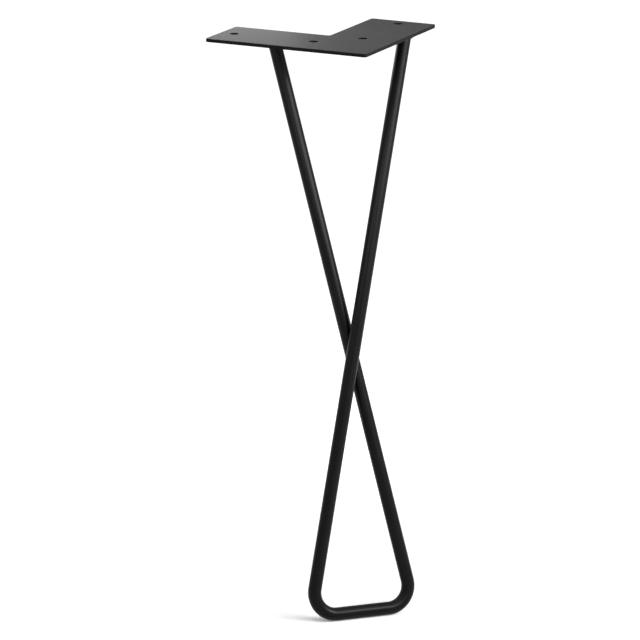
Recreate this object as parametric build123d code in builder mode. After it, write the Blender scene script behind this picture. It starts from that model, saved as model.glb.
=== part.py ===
from build123d import *
from math import sqrt
import os

# Hairpin table leg. A flat L-shaped plate is screwed under the corner of a table top. One round rod,
# welded under both arms of the plate, runs down, crosses itself and turns along the floor as the foot.
# Lengths are millimetres and +Z is up. The origin is on the plate's top face, where the centre lines
# of its arms cross. +Y points in under the table, away from the plate's outer corner.

# Whole leg
leg_height = 406.0  # floor to the plate's top face

# L-shaped plate
arm_length = 123.0  # outer corner to the end of an arm
arm_width = 50.0
plate_thickness = 2.5
plate_corner_radius = 2.0
plate_edge_break = 0.3
hole_diameter = 6.5
hole_end_distance = 10.5  # end of an arm to the centre of its outer hole
hole_spacing = 61.5  # between the two holes of an arm

# Bent rod
rod_diameter = 9.5
seat_distance = 64.5  # origin to the end of the rod, along the arm that it is welded to
foot_width = 78.5  # between the corner points of the two bends
foot_setout = 42.0  # centre line of the foot, out from the origin
bend_radius = 16.0  # of the centre line
crossing_clearance = 0.3  # between the two legs of the rod, where they pass each other

# Weld beads
weld_size = 3.0  # leg of the bead, on the plate and down the rod
weld_toe = 0.3  # thickness left at the bead's lower edge

# Levels
seat_level = -plate_thickness
foot_level = -leg_height + rod_diameter / 2
rise = seat_level - foot_level

# Places on the plate, in a plane with x along the right arm and y along the left arm
arm_plane = Plane((0, 0, 0), x_dir=(1, 1, 0), z_dir=(0, 0, 1))
outer_edge = -arm_width / 2
inner_edge = arm_width / 2
arm_end = arm_length - arm_width / 2
outer_hole = arm_end - hole_end_distance
inner_hole = outer_hole - hole_spacing

# The legs of the rod cross, so one passes in front of the other. Each end is moved off the middle of
# its arm, both the same way round, by the shift that leaves the legs a diameter and the clearance
# apart. The legs are skew lines. Along X, Y and Z their common normal is sqrt(2) * rise * end_shift,
# normal_y and normal_z + end_shift ** 2, which makes this a quadratic in end_shift ** 2.
pass_distance = rod_diameter + crossing_clearance
top_width = sqrt(2) * seat_distance
spread = top_width + foot_width
normal_y = spread * rise
normal_z = spread * (top_width / 2 + foot_setout)
half_sum = rise**2 * ((foot_width / pass_distance) ** 2 - 1) - normal_z
end_shift = sqrt(half_sum - sqrt(half_sum**2 - normal_y**2 - normal_z**2))

# Corner points of the rod's centre line
right_end = arm_plane.from_local_coords((seat_distance, -end_shift, seat_level))
left_end = arm_plane.from_local_coords((end_shift, seat_distance, seat_level))
foot_left = Vector(-foot_width / 2, -foot_setout, foot_level)
foot_right = Vector(foot_width / 2, -foot_setout, foot_level)


def past_seat(end, bend):
    # Point beyond the end of a leg, so that the cut at the seat runs through the whole rod
    return end + (end - bend).normalized() * rod_diameter


os.makedirs("parts", exist_ok=True)

# Plate with two screw holes in each arm
with BuildPart(arm_plane) as top_plate:
    with BuildSketch(arm_plane):
        with BuildLine():
            Polyline(
                (outer_edge, outer_edge),
                (arm_end, outer_edge),
                (arm_end, inner_edge),
                (inner_edge, inner_edge),
                (inner_edge, arm_end),
                (outer_edge, arm_end),
                close=True,
            )
        make_face()
        fillet(vertices(), plate_corner_radius)
    extrude(amount=-plate_thickness)
    chamfer(faces().filter_by(Axis.Z).edges(), plate_edge_break)
    with Locations((inner_hole, 0), (outer_hole, 0), (0, inner_hole), (0, outer_hole)):
        Hole(hole_diameter / 2)
top_plate.part.label = "top_plate"
export_step(top_plate.part, "parts/top_plate.step")

# One rod from the right arm down to the foot's left bend, along the foot and up to the left arm
with BuildPart() as hairpin_rod:
    with BuildLine() as rod_line:
        FilletPolyline(
            past_seat(right_end, foot_left),
            foot_left,
            foot_right,
            past_seat(left_end, foot_right),
            radius=bend_radius,
        )
    with BuildSketch(Plane(rod_line.line @ 0, z_dir=rod_line.line % 0)):
        Circle(rod_diameter / 2)
    sweep()
    split(bisect_by=Plane.XY.offset(seat_level), keep=Keep.BOTTOM)
hairpin_rod.part.label = "hairpin_rod"
export_step(hairpin_rod.part, "parts/hairpin_rod.step")

# Tapered bead in the corner between the plate and each end of the rod
for side, end, bend in (("left", left_end, foot_right), ("right", right_end, foot_left)):
    slope = (bend - end) / rise
    oval_radius = rod_diameter / 2 * slope.length
    with BuildPart() as rod_weld:
        with BuildSketch(Plane(end)):
            Circle(oval_radius + weld_size)
        with BuildSketch(Plane(end + slope * weld_size)):
            Circle(oval_radius + weld_toe)
        loft()
        add(hairpin_rod.part, mode=Mode.SUBTRACT)
    rod_weld.part.label = f"rod_weld_{side}"
    export_step(rod_weld.part, f"parts/rod_weld_{side}.step")
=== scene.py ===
import math
from functools import partial

import bpy
from mathutils import Matrix, Vector


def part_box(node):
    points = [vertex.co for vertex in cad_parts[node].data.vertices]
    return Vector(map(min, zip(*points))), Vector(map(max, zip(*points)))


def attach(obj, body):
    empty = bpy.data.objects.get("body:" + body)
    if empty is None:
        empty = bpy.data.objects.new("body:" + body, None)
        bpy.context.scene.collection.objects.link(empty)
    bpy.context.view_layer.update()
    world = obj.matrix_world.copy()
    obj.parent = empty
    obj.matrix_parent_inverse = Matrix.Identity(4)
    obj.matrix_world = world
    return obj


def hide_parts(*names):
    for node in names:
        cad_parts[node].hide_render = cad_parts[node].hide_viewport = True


# Hairpin table leg in satin black powder coat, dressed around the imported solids. Lengths are metres.

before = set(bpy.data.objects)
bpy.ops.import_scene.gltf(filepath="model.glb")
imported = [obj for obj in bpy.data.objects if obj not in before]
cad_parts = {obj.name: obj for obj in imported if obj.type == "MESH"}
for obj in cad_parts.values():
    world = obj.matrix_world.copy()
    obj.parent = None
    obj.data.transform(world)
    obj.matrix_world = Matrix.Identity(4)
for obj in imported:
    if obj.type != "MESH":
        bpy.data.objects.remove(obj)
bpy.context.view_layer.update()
mm = 0.001
plateLow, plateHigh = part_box("top_plate")
rodLow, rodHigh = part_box("hairpin_rod")
floorLevel = rodLow.z
seatLevel = plateLow.z  # underside of the plate, where both ends of the rod are cut
print("frame:", ", ".join(sorted(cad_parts)))


# Helpers for node trees

def addNode(tree, kind, sockets=None, **settings):
    # each socket takes a value, or the output of another node
    node = tree.nodes.new(kind)
    for name, value in settings.items():
        setattr(node, name, value)
    for name, value in (sockets or {}).items():
        if isinstance(value, bpy.types.NodeSocket):
            tree.links.new(value, node.inputs[name])
        else:
            node.inputs[name].default_value = value
    return node


def calc(tree, operation, *values, clamp=False):
    node = addNode(tree, "ShaderNodeMath", dict(enumerate(values)), operation=operation, use_clamp=clamp)
    return node.outputs[0]


def vectorCalc(tree, operation, *values):
    node = addNode(tree, "ShaderNodeVectorMath", dict(enumerate(values)), operation=operation)
    return node.outputs["Value" if operation in ("DOT_PRODUCT", "LENGTH") else "Vector"]


def scaled(tree, vector, factor):
    node = addNode(tree, "ShaderNodeVectorMath", {0: vector, "Scale": factor}, operation="SCALE")
    return node.outputs["Vector"]


def heightOf(tree, vector):
    return addNode(tree, "ShaderNodeSeparateXYZ", {0: vector}).outputs["Z"]


def emptyTree(owner):
    # node tree of a new material or world, without the nodes that it starts with
    owner.use_nodes = True
    owner.node_tree.nodes.clear()
    return owner.node_tree


def joinAll(tree, *geometries):
    node = addNode(tree, "GeometryNodeJoinGeometry")
    for geometry in geometries:
        tree.links.new(geometry, node.inputs[0])
    return node.outputs[0]


def capture(tree, geometry, **fields):
    # keeps a value of each curve point for later use on the mesh
    node = addNode(tree, "GeometryNodeCaptureAttribute", {"Geometry": geometry})
    for name, (kind, field) in fields.items():
        node.capture_items.new(kind, name)
        tree.links.new(field, node.inputs[name])
    return node.outputs


def newPieceTree(name, floats=(), counts=(), vectors=(), finishes=("Finish",)):
    # one mesh in, one mesh out, and a named input for each size, count, vector and finish
    tree = bpy.data.node_groups.new(name, "GeometryNodeTree")
    sockets = [("Geometry", "NodeSocketGeometry")]
    sockets += [(label, "NodeSocketFloat") for label in floats]
    sockets += [(label, "NodeSocketInt") for label in counts]
    sockets += [(label, "NodeSocketVector") for label in vectors]
    sockets += [(label, "NodeSocketMaterial") for label in finishes]
    for label, kind in sockets:
        tree.interface.new_socket(label, in_out="INPUT", socket_type=kind)
    tree.interface.new_socket("Geometry", in_out="OUTPUT", socket_type="NodeSocketGeometry")
    return tree, tree.nodes.new("NodeGroupInput").outputs


def closePieceTree(tree, geometry, finish, creaseDegrees, paintedShadeFinish=None, sideRise=0.5):
    # smooth faces, creased where two of them meet at more than the given angle
    smooth = addNode(tree, "GeometryNodeSetShadeSmooth", {"Geometry": geometry, "Shade Smooth": True})
    corner = addNode(tree, "GeometryNodeInputMeshEdgeAngle").outputs["Unsigned Angle"]
    crease = addNode(tree, "GeometryNodeSetShadeSmooth", {
        "Geometry": smooth.outputs[0], "Shade Smooth": False,
        "Selection": calc(tree, "GREATER_THAN", corner, math.radians(creaseDegrees))}, domain="EDGE")
    real = addNode(tree, "GeometryNodeRealizeInstances", {"Geometry": crease.outputs[0]})
    painted = addNode(tree, "GeometryNodeSetMaterial", {"Geometry": real.outputs[0], "Material": finish})
    if paintedShadeFinish is not None:
        # a side is a face whose normal rises or falls by less than sideRise, and it gets the darker side
        # finish, which is painted shade
        tilt = heightOf(tree, addNode(tree, "GeometryNodeInputNormal").outputs[0])
        isSide = calc(tree, "LESS_THAN", calc(tree, "ABSOLUTE", tilt), sideRise)
        painted = addNode(tree, "GeometryNodeSetMaterial", {
            "Geometry": painted.outputs[0], "Selection": isSide, "Material": paintedShadeFinish})
    addNode(tree, "NodeGroupOutput", {"Geometry": painted.outputs[0]})


# Helpers for objects and pieces

def addObject(name, data):
    thing = bpy.data.objects.new(name, data)
    bpy.context.scene.collection.objects.link(thing)
    return thing


def addMesh(name, points, edges=(), faces=()):
    mesh = bpy.data.meshes.new(name)
    mesh.from_pydata(points, edges, faces)
    return addObject(name, mesh)


def applyTree(piece, tree, values):
    # inputs are set by identifier before the first evaluation
    modifier = piece.modifiers.new(tree.name, "NODES")
    modifier.node_group = tree
    for item in tree.interface.items_tree:
        if item.in_out == "INPUT" and item.name in values:
            modifier[item.identifier] = values[item.name]
    makePlain(piece)


def makePlain(piece):
    graph = bpy.context.evaluated_depsgraph_get()
    mesh = bpy.data.meshes.new_from_object(
        piece.evaluated_get(graph), preserve_all_data_layers=True, depsgraph=graph)
    piece.modifiers.clear()
    piece.data = mesh


def seatPiece(piece, node):
    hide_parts(node)
    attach(piece, "root")
    print("piece:", piece.name, "with", len(piece.data.polygons), "faces, for", node)


# Finish: black powder coat with a fine orange peel, satin on the rod and duller on the plate, whose level
# faces carry painted sheen in a lighter tone and whose sides carry painted shade in a darker tone

coatSet = {
    "mottleScale": 60.0,
    "mottleDetail": 3.0,
    "peelScale": 420.0,
    "peelDetail": 2.0,
    "peelDepth": 0.010 * mm,
    "grainScale": 2600.0,
    "grainDetail": 1.0,
    "grainDepth": 0.002 * mm,
    "noiseRange": (0.35, 0.65),  # stretch of the noise over which tone and roughness change
    # tone and roughness each run between two levels
    "satinBlackCoat": {"tone": (0.0006, 0.0012), "roughness": (0.315, 0.365), "ior": 1.205},
    # plate: the black coat, with a lighter tone that is painted sheen
    "blackPlatePaintedSheenCoat": {"tone": (0.055, 0.065), "roughness": (0.55, 0.61), "ior": 1.095},
    # plate sides: the same black coat in a darker tone, which is painted shade
    "plateSidePaintedShadeCoat": {"tone": (0.012, 0.016), "roughness": (0.40, 0.48), "ior": 1.06},
}


def powderCoat(name):
    look = coatSet[name]
    material = bpy.data.materials.new(name)
    tree = emptyTree(material)
    place = addNode(tree, "ShaderNodeTexCoord").outputs["Object"]

    def noise(kind):
        node = addNode(tree, "ShaderNodeTexNoise", {
            "Vector": place, "Scale": coatSet[kind + "Scale"], "Detail": coatSet[kind + "Detail"]})
        return node.outputs["Fac"]

    mottle = noise("mottle")
    grain = noise("grain")
    tone = addNode(tree, "ShaderNodeValToRGB", {"Fac": mottle})
    for stop, level, position in zip(tone.color_ramp.elements, look["tone"], coatSet["noiseRange"]):
        stop.color = (level, level, level, 1.0)
        stop.position = position
    blur = addNode(tree, "ShaderNodeMapRange", {
        "Value": calc(tree, "MULTIPLY", calc(tree, "ADD", grain, mottle), 0.5),
        "From Min": coatSet["noiseRange"][0], "From Max": coatSet["noiseRange"][1],
        "To Min": look["roughness"][0], "To Max": look["roughness"][1]})
    peel = addNode(tree, "ShaderNodeBump", {
        "Height": noise("peel"), "Distance": coatSet["peelDepth"], "Strength": 1.0})
    fine = addNode(tree, "ShaderNodeBump", {
        "Height": grain, "Distance": coatSet["grainDepth"], "Strength": 1.0, "Normal": peel.outputs[0]})
    shader = addNode(tree, "ShaderNodeBsdfPrincipled", {
        "Base Color": tone.outputs["Color"], "Roughness": blur.outputs[0], "IOR": look["ior"],
        "Normal": fine.outputs[0]})
    addNode(tree, "ShaderNodeOutputMaterial", {"Surface": shader.outputs[0]})
    return material


satinBlack = powderCoat("satinBlackCoat")
blackPlatePaintedSheen = powderCoat("blackPlatePaintedSheenCoat")
plateSidePaintedShade = powderCoat("plateSidePaintedShadeCoat")
print("finish:", satinBlack.name, blackPlatePaintedSheen.name, plateSidePaintedShade.name)


# Top plate: flat L with two screw holes in each arm

plateSet = {
    "armLength": 123.0 * mm,  # outer corner to the end of an arm
    "armWidth": 50.0 * mm,
    "cornerRadius": 2.0 * mm,
    "cornerSteps": 9,
    "holeDiameter": 6.5 * mm,
    "holeEndDistance": 10.5 * mm,  # end of an arm to the centre of its outer hole
    "holeSpacing": 61.5 * mm,
    "holeSides": 48,
    "holesPerArm": 2,
    "edgeRound": 0.35 * mm,
    "edgeSteps": 3,
    "creaseDegrees": 40.0,
    "mergeDistance": 0.001 * mm,
}


def armPoint(along, across):
    # distances along the right arm and along the left arm, which stand at 45 degrees to X and Y
    return Vector((along - across, along + across, 0.0)) * math.sqrt(0.5)


def topPlateTree():
    tree, size = newPieceTree(
        "topPlateTree",
        floats=("Thickness", "Corner Radius", "Hole Diameter", "Inner Hole", "Hole Spacing",
                "Merge Distance"),
        counts=("Corner Steps", "Hole Sides", "Holes Per Arm"),
        vectors=("Right Arm", "Left Arm", "Underside"),
        finishes=("Finish", "Painted Shade Finish"))
    outline = addNode(tree, "GeometryNodeMeshToCurve", {"Mesh": size["Geometry"]})
    rounded = addNode(tree, "GeometryNodeFilletCurve", {
        "Curve": outline.outputs[0], "Count": size["Corner Steps"],
        "Radius": size["Corner Radius"]}, mode="POLY")
    bore = addNode(tree, "GeometryNodeCurvePrimitiveCircle", {
        "Resolution": size["Hole Sides"], "Radius": calc(tree, "MULTIPLY", size["Hole Diameter"], 0.5)})
    outlines = [rounded.outputs[0]]
    for arm in ("Right Arm", "Left Arm"):
        first = scaled(tree, size[arm], size["Inner Hole"])
        row = addNode(tree, "GeometryNodeMeshLine", {
            "Count": size["Holes Per Arm"],
            "Start Location": vectorCalc(tree, "ADD", first, size["Underside"]),
            "Offset": scaled(tree, size[arm], size["Hole Spacing"])})
        bores = addNode(tree, "GeometryNodeInstanceOnPoints", {
            "Points": row.outputs[0], "Instance": bore.outputs["Curve"]})
        holes = addNode(tree, "GeometryNodeRealizeInstances", {"Geometry": bores.outputs[0]})
        outlines.append(holes.outputs[0])
    # the filled outline is the underside, and a raised copy of it makes the sides and the top
    face = addNode(tree, "GeometryNodeFillCurve", {"Curve": joinAll(tree, *outlines)}, mode="NGONS")
    level = addNode(tree, "GeometryNodeSetPosition", {
        "Geometry": face.outputs[0], "Offset": size["Underside"]}).outputs[0]
    lift = addNode(tree, "ShaderNodeCombineXYZ", {"Z": size["Thickness"]})
    raised = addNode(tree, "GeometryNodeExtrudeMesh", {
        "Mesh": level, "Offset": lift.outputs[0], "Offset Scale": 1.0, "Individual": False})
    under = addNode(tree, "GeometryNodeFlipFaces", {"Mesh": level})
    shell = addNode(tree, "GeometryNodeMergeByDistance", {
        "Geometry": joinAll(tree, raised.outputs["Mesh"], under.outputs[0]),
        "Distance": size["Merge Distance"]})
    closePieceTree(tree, shell.outputs[0], size["Finish"], plateSet["creaseDegrees"], size["Painted Shade Finish"])
    return tree


def buildTopPlate():
    half = plateSet["armWidth"] / 2
    end = plateSet["armLength"] - half
    corners = [(-half, -half), (end, -half), (end, half), (half, half), (half, end), (-half, end)]
    edges = [(i, (i + 1) % len(corners)) for i in range(len(corners))]
    plate = addMesh("topPlate", [armPoint(*corner) for corner in corners], edges)
    applyTree(plate, topPlateTree(), {
        "Thickness": plateHigh.z - plateLow.z,
        "Corner Radius": plateSet["cornerRadius"],
        "Hole Diameter": plateSet["holeDiameter"],
        "Inner Hole": end - plateSet["holeEndDistance"] - plateSet["holeSpacing"],
        "Hole Spacing": plateSet["holeSpacing"],
        "Merge Distance": plateSet["mergeDistance"],
        "Corner Steps": plateSet["cornerSteps"],
        "Hole Sides": plateSet["holeSides"],
        "Holes Per Arm": plateSet["holesPerArm"],
        "Right Arm": armPoint(1.0, 0.0),
        "Left Arm": armPoint(0.0, 1.0),
        "Underside": Vector((0.0, 0.0, seatLevel)),
        # the level faces' lighter tone is painted sheen
        "Finish": blackPlatePaintedSheen,
        # the sides' darker finish is painted shade
        "Painted Shade Finish": plateSidePaintedShade,
    })
    edge = plate.modifiers.new("coatedEdge", "BEVEL")
    edge.width = plateSet["edgeRound"]
    edge.segments = plateSet["edgeSteps"]
    edge.limit_method = "ANGLE"
    edge.angle_limit = math.radians(plateSet["creaseDegrees"])
    edge.harden_normals = True
    makePlain(plate)
    return plate


topPlate = buildTopPlate()
seatPiece(topPlate, "top_plate")


# Bent rod: one length from the right arm down to the foot and up to the left arm

rodSet = {
    "diameter": 9.5 * mm,
    "footWidth": 78.5 * mm,  # between the corner points of the two bends
    "bendRadius": 16.0 * mm,
    "sides": 72,
    "bendSteps": 28,
    "stepLength": 6.0 * mm,  # along the straight stretches
    "creaseDegrees": 40.0,
    "rimTolerance": 0.01 * mm,
}


def rodEnds():
    # centres of the two flat ends, from the solid's own points under the plate
    ends = []
    for side in (1, -1):
        rim = [point.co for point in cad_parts["hairpin_rod"].data.vertices
               if point.co.z > rodHigh.z - rodSet["rimTolerance"] and point.co.x * side > 0]
        ends.append(Vector([(min(values) + max(values)) / 2 for values in zip(*rim)]))
    return ends


def rodCorners():
    right, left = rodEnds()
    radius = rodSet["diameter"] / 2
    footLeft = Vector((-rodSet["footWidth"] / 2, rodLow.y + radius, rodLow.z + radius))
    footRight = Vector((rodSet["footWidth"] / 2, rodLow.y + radius, rodLow.z + radius))
    return right, footLeft, footRight, left


def hairpinRodTree():
    tree, size = newPieceTree(
        "hairpinRodTree",
        floats=("Diameter", "Bend Radius", "Step Length", "Seat Level"),
        counts=("Sides", "Bend Steps"))
    path = addNode(tree, "GeometryNodeMeshToCurve", {"Mesh": size["Geometry"]})
    bent = addNode(tree, "GeometryNodeFilletCurve", {
        "Curve": path.outputs[0], "Count": size["Bend Steps"], "Radius": size["Bend Radius"]}, mode="POLY")
    # cuts in each run by its own length, so that only the straight stretches are divided
    along = addNode(tree, "GeometryNodeSplineParameter")
    index = addNode(tree, "GeometryNodeInputIndex").outputs[0]
    reach = addNode(tree, "GeometryNodeFieldAtIndex", {
        "Value": along.outputs["Length"], "Index": calc(tree, "ADD", index, 1.0)})
    run = calc(tree, "SUBTRACT", reach.outputs[0], along.outputs["Length"])
    cuts = calc(tree, "FLOOR", calc(tree, "DIVIDE", run, size["Step Length"]))
    divided = addNode(tree, "GeometryNodeSubdivideCurve", {"Curve": bent.outputs[0], "Cuts": cuts})
    kept = capture(
        tree, divided.outputs[0],
        heading=("VECTOR", addNode(tree, "GeometryNodeInputTangent").outputs[0]),
        isEnd=("BOOLEAN", addNode(tree, "GeometryNodeCurveEndpointSelection").outputs[0]))
    section = addNode(tree, "GeometryNodeCurvePrimitiveCircle", {
        "Resolution": size["Sides"], "Radius": calc(tree, "MULTIPLY", size["Diameter"], 0.5)})
    tube = addNode(tree, "GeometryNodeCurveToMesh", {
        "Curve": kept["Geometry"], "Profile Curve": section.outputs["Curve"], "Fill Caps": True})
    # both ends are cut flat under the plate: their rims slide along the rod to the seat
    height = heightOf(tree, addNode(tree, "GeometryNodeInputPosition").outputs[0])
    climb = heightOf(tree, kept["heading"])
    slide = calc(tree, "DIVIDE", calc(tree, "SUBTRACT", size["Seat Level"], height), climb)
    cut = addNode(tree, "GeometryNodeSetPosition", {
        "Geometry": tube.outputs[0], "Selection": kept["isEnd"],
        "Offset": scaled(tree, kept["heading"], slide)})
    closePieceTree(tree, cut.outputs[0], size["Finish"], rodSet["creaseDegrees"])
    return tree


def buildHairpinRod():
    rod = addMesh("hairpinRod", rodCorners(), [(0, 1), (1, 2), (2, 3)])
    applyTree(rod, hairpinRodTree(), {
        "Diameter": rodSet["diameter"],
        "Bend Radius": rodSet["bendRadius"],
        "Step Length": rodSet["stepLength"],
        "Seat Level": seatLevel,
        "Sides": rodSet["sides"],
        "Bend Steps": rodSet["bendSteps"],
        "Finish": satinBlack,
    })
    return rod


hairpinRod = buildHairpinRod()
seatPiece(hairpinRod, "hairpin_rod")


# Weld beads: a rippled fillet in the corner between the plate and each end of the rod

weldSet = {
    "size": 3.0 * mm,  # widest leg of the bead, on the plate and down the rod
    "ripples": 26,
    "rippleDepth": 0.16,  # share of the bead's size
    "crescent": 0.7,  # how far a ripple bows along the weld
    "fullness": 1.55,  # 1 is a quarter round, 2 a flat slope
    "wander": 0.14,  # slow change of the bead's size round the rod
    "wanderLag": 2.0,  # ripples by which that change shifts the pattern
    "wanderScale": 1.6,
    "wanderDetail": 1.0,
    "around": 312,
    "section": 30,
    "startRadius": 0.2,  # of the round section before its points are placed
    "faceShare": 0.6,  # of the section's points, while the rest lie along the rod and the plate
    "creaseDegrees": 55.0,
    "seeds": {"weldRight": 3, "weldLeft": 8},
}


def weldTree():
    tree, size = newPieceTree(
        "weldTree",
        floats=("Rod Diameter", "Weld Size", "Ripple Depth", "Crescent", "Fullness",
                "Wander", "Wander Lag", "Wander Scale", "Wander Detail"),
        counts=("Ripples", "Around", "Section", "Seed"),
        vectors=("Seat Point", "Slope"))
    do = partial(calc, tree)
    doVector = partial(vectorCalc, tree)
    # a ring with a round section, whose points all get their places below
    circle = "GeometryNodeCurvePrimitiveCircle"
    factor = addNode(tree, "GeometryNodeSplineParameter").outputs["Factor"]
    ringCurve = addNode(tree, circle, {"Resolution": size["Around"]}).outputs["Curve"]
    ring = capture(tree, ringCurve, turn=("FLOAT", factor))
    loopCurve = addNode(tree, circle, {
        "Resolution": size["Section"], "Radius": weldSet["startRadius"]}).outputs["Curve"]
    loop = capture(tree, loopCurve, share=("FLOAT", factor))
    torus = addNode(tree, "GeometryNodeCurveToMesh", {
        "Curve": ring["Geometry"], "Profile Curve": loop["Geometry"]})
    # direction out from the rod, and the rod's oval in the level plane
    angle = do("MULTIPLY", ring["turn"], math.tau)
    out = addNode(tree, "ShaderNodeCombineXYZ", {
        "X": do("COSINE", angle), "Y": do("SINE", angle)}).outputs[0]
    lean = doVector("NORMALIZE", doVector("MULTIPLY", size["Slope"], (1.0, 1.0, 0.0)))
    inLine = do("POWER", doVector("DOT_PRODUCT", out, lean), 2.0)
    stretch = do("POWER", doVector("LENGTH", size["Slope"]), -2.0)
    flatten = do("ADD", do("MULTIPLY", inLine, stretch), do("SUBTRACT", 1.0, inLine))
    oval = do("DIVIDE", do("MULTIPLY", size["Rod Diameter"], 0.5), do("SQRT", flatten))

    def progress(start, end):
        # 0 to 1 over one part of the section
        return do("DIVIDE", do("SUBTRACT", loop["share"], start), end - start, clamp=True)

    # the section runs down the bead's face, up the rod and back out along the plate
    faceEnd = weldSet["faceShare"]
    riseEnd = (faceEnd + 1.0) / 2
    face = progress(0.0, faceEnd)
    rise = progress(faceEnd, riseEnd)
    home = progress(riseEnd, 1.0)
    bend = do("MULTIPLY", face, math.pi / 2)
    wide = do("ADD", do("POWER", do("COSINE", bend), size["Fullness"]), home)
    deep = do("MULTIPLY", do("POWER", do("SINE", bend), size["Fullness"]), do("SUBTRACT", 1.0, rise))
    # ripples with sharp valleys, bowed along the weld, on a bead of uneven size
    drift = addNode(tree, "ShaderNodeTexNoise", {
        "Vector": out, "W": size["Seed"], "Scale": size["Wander Scale"], "Detail": size["Wander Detail"]},
        noise_dimensions="4D").outputs["Fac"]
    bow = do("MULTIPLY", do("SINE", do("MULTIPLY", face, math.pi)), size["Crescent"])
    lag = do("MULTIPLY", drift, size["Wander Lag"])
    beat = do("ADD", do("MULTIPLY", ring["turn"], size["Ripples"]), do("ADD", bow, lag))
    crest = do("ABSOLUTE", do("SINE", do("MULTIPLY", beat, math.pi)))
    valley = do("MULTIPLY", do("SUBTRACT", 1.0, crest), size["Ripple Depth"])
    swell = do("SUBTRACT", do("SUBTRACT", 1.0, valley), do("MULTIPLY", drift, size["Wander"]))
    leg = do("MULTIPLY", size["Weld Size"], swell)
    reach = scaled(tree, out, do("ADD", oval, do("MULTIPLY", wide, leg)))
    drop = scaled(tree, size["Slope"], do("MULTIPLY", deep, leg))
    place = doVector("ADD", size["Seat Point"], doVector("ADD", reach, drop))
    bead = addNode(tree, "GeometryNodeSetPosition", {"Geometry": torus.outputs[0], "Position": place})
    closePieceTree(tree, bead.outputs[0], size["Finish"], weldSet["creaseDegrees"])
    return tree


def buildWelds():
    right, footLeft, footRight, left = rodCorners()
    tree = weldTree()
    welds = (
        ("weldRight", "rod_weld_right", right, footLeft),
        ("weldLeft", "rod_weld_left", left, footRight),
    )
    for name, node, end, bend in welds:
        bead = addMesh(name, [(0.0, 0.0, 0.0)])
        applyTree(bead, tree, {
            "Rod Diameter": rodSet["diameter"],
            "Weld Size": weldSet["size"],
            "Ripple Depth": weldSet["rippleDepth"],
            "Crescent": weldSet["crescent"],
            "Fullness": weldSet["fullness"],
            "Wander": weldSet["wander"],
            "Wander Lag": weldSet["wanderLag"],
            "Wander Scale": weldSet["wanderScale"],
            "Wander Detail": weldSet["wanderDetail"],
            "Ripples": weldSet["ripples"],
            "Around": weldSet["around"],
            "Section": weldSet["section"],
            "Seed": weldSet["seeds"][name],
            "Seat Point": end,
            "Slope": (bend - end) / (end.z - bend.z),
            "Finish": satinBlack,
        })
        seatPiece(bead, node)


buildWelds()


# Stage: pale floor, even white surround and softboxes

stageSet = {
    "floorSize": 30.0,
    "floorTone": 0.80,
    # light added where the camera or a reflection sees the floor, so that it reads white to its far end
    "liftNear": 0.23,
    "liftFar": 0.91,
    "liftReach": (0.05, 0.5),  # distances from the middle at which the lift starts and stops to grow
    "worldLevel": 0.20,
}

lightSet = {
    # wide, at the front right
    "sideSoftbox": {"aim": (0.0, 0.0, -0.339), "azimuth": 32.9, "elevation": 34.0, "distance": 1.461,
                    "width": 1.168, "height": 0.143, "watts": 22.05},
    # beside it, level with the plate
    "lowSoftbox": {"aim": (0.0, 0.0, -0.033), "azimuth": 46.8, "elevation": 3.6, "distance": 0.578,
                   "width": 0.373, "height": 0.088, "watts": 1.32},
    # over the foot
    "frontSoftbox": {"aim": (0.0, 0.0, -0.38), "azimuth": -8.3, "elevation": 66.4, "distance": 0.364,
                     "width": 0.733, "height": 0.114, "watts": 0.753},
    # small, behind the left arm
    "plateCard": {"aim": (-0.0675, 0.034, 0.0), "azimuth": 171.0, "elevation": 33.6, "distance": 0.103,
                  "width": 0.123, "height": 0.213, "watts": 0.285},
}


def whiteRays(tree):
    # 1 for rays that show the background: straight from the camera, mirrored or seen through
    rays = addNode(tree, "ShaderNodeLightPath").outputs
    seen = calc(tree, "ADD", rays["Is Camera Ray"], rays["Is Glossy Ray"])
    return calc(tree, "ADD", seen, rays["Is Transmission Ray"], clamp=True)


def paleFloor():
    material = bpy.data.materials.new("paleFloor")
    tree = emptyTree(material)
    tone = stageSet["floorTone"]
    matt = addNode(tree, "ShaderNodeBsdfDiffuse", {"Color": (tone, tone, tone, 1.0)})
    place = addNode(tree, "ShaderNodeTexCoord").outputs["Object"]
    away = vectorCalc(tree, "LENGTH", vectorCalc(tree, "MULTIPLY", place, (1.0, 1.0, 0.0)))
    rise = addNode(tree, "ShaderNodeMapRange", {
        "Value": away, "From Min": stageSet["liftReach"][0], "From Max": stageSet["liftReach"][1],
        "To Min": stageSet["liftNear"], "To Max": stageSet["liftFar"]}, interpolation_type="SMOOTHSTEP")
    lift = addNode(tree, "ShaderNodeEmission", {
        "Strength": calc(tree, "MULTIPLY", whiteRays(tree), rise.outputs[0])})
    lit = addNode(tree, "ShaderNodeAddShader", {0: matt.outputs[0], 1: lift.outputs[0]})
    # from below, the floor can be seen through
    clear = addNode(tree, "ShaderNodeBsdfTransparent")
    under = addNode(tree, "ShaderNodeNewGeometry").outputs["Backfacing"]
    oneSided = addNode(tree, "ShaderNodeMixShader", {0: under, 1: lit.outputs[0], 2: clear.outputs[0]})
    addNode(tree, "ShaderNodeOutputMaterial", {"Surface": oneSided.outputs[0]})
    return material


def buildFloor():
    half = stageSet["floorSize"] / 2
    corners = [(-half, -half), (half, -half), (half, half), (-half, half)]
    floor = addMesh("studioFloor", [(x, y, floorLevel) for x, y in corners], faces=[(0, 1, 2, 3)])
    floor.data.materials.append(paleFloor())


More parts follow.
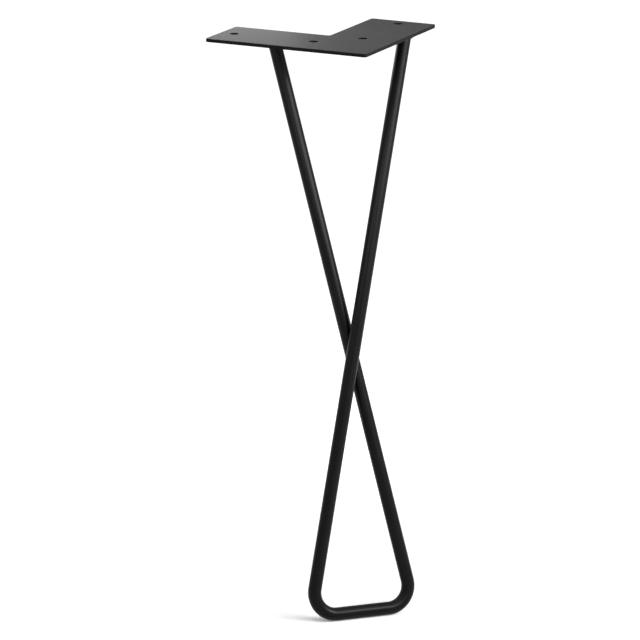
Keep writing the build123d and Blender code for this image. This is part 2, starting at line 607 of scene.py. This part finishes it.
def buildWorld():
    world = bpy.data.worlds.new("softStudio")
    tree = emptyTree(world)
    white = (1.0, 1.0, 1.0, 1.0)
    fill = addNode(tree, "ShaderNodeBackground", {"Color": white, "Strength": stageSet["worldLevel"]})
    seen = addNode(tree, "ShaderNodeBackground", {"Color": white, "Strength": 1.0})
    mixed = addNode(tree, "ShaderNodeMixShader", {
        0: whiteRays(tree), 1: fill.outputs[0], 2: seen.outputs[0]})
    addNode(tree, "ShaderNodeOutputWorld", {"Surface": mixed.outputs[0]})
    bpy.context.scene.world = world


def towards(azimuth, elevation):
    # azimuth 0 is the side that the outer corner of the plate faces, and 90 is to the right of it
    turn, tilt = math.radians(azimuth), math.radians(elevation)
    return Vector((math.sin(turn) * math.cos(tilt), -math.cos(turn) * math.cos(tilt), math.sin(tilt)))


def addSoftbox(name, aim, azimuth, elevation, distance, width, height, watts):
    data = bpy.data.lights.new(name, "AREA")
    data.shape = "RECTANGLE"
    data.size = width
    data.size_y = height
    data.energy = watts
    back = towards(azimuth, elevation)
    lamp = addObject(name, data)
    lamp.location = Vector(aim) + back * distance
    lamp.rotation_euler = (-back).to_track_quat("-Z", "Y").to_euler()
    lamp.visible_camera = False


buildFloor()
buildWorld()
for lampName, lampValues in lightSet.items():
    addSoftbox(lampName, **lampValues)
print("stage: floor, surround and", len(lightSet), "softboxes")


# Camera at the photograph's angle

cameraSet = {
    "azimuth": -20.604,
    "elevation": 14.909,
    "roll": 0.575,
    "distance": 3.00377,
    "target": (3.04 * mm, 57.159 * mm, -212.573 * mm),
    "focalPixels": 4169.7,
    "imagePixels": 640,
    "sensor": 36.0,
    "clipEnd": 100.0,
}


def buildCamera():
    roll = math.radians(cameraSet["roll"])
    back = towards(cameraSet["azimuth"], cameraSet["elevation"])
    level = towards(cameraSet["azimuth"] + 90.0, 0.0)
    right = math.cos(roll) * level + math.sin(roll) * back.cross(level)
    data = bpy.data.cameras.new("photoCamera")
    data.sensor_width = cameraSet["sensor"]
    data.lens = cameraSet["focalPixels"] / cameraSet["imagePixels"] * cameraSet["sensor"]
    data.clip_end = cameraSet["clipEnd"]
    camera = addObject("photoCamera", data)
    turned = Matrix((right, back.cross(right), back)).transposed().to_4x4()
    place = Vector(cameraSet["target"]) + back * cameraSet["distance"]
    camera.matrix_world = Matrix.Translation(place) @ turned
    bpy.context.scene.camera = camera


buildCamera()
bpy.context.scene.view_settings.view_transform = "Standard"
print("camera:", cameraSet["azimuth"], "and", cameraSet["elevation"], "degrees")
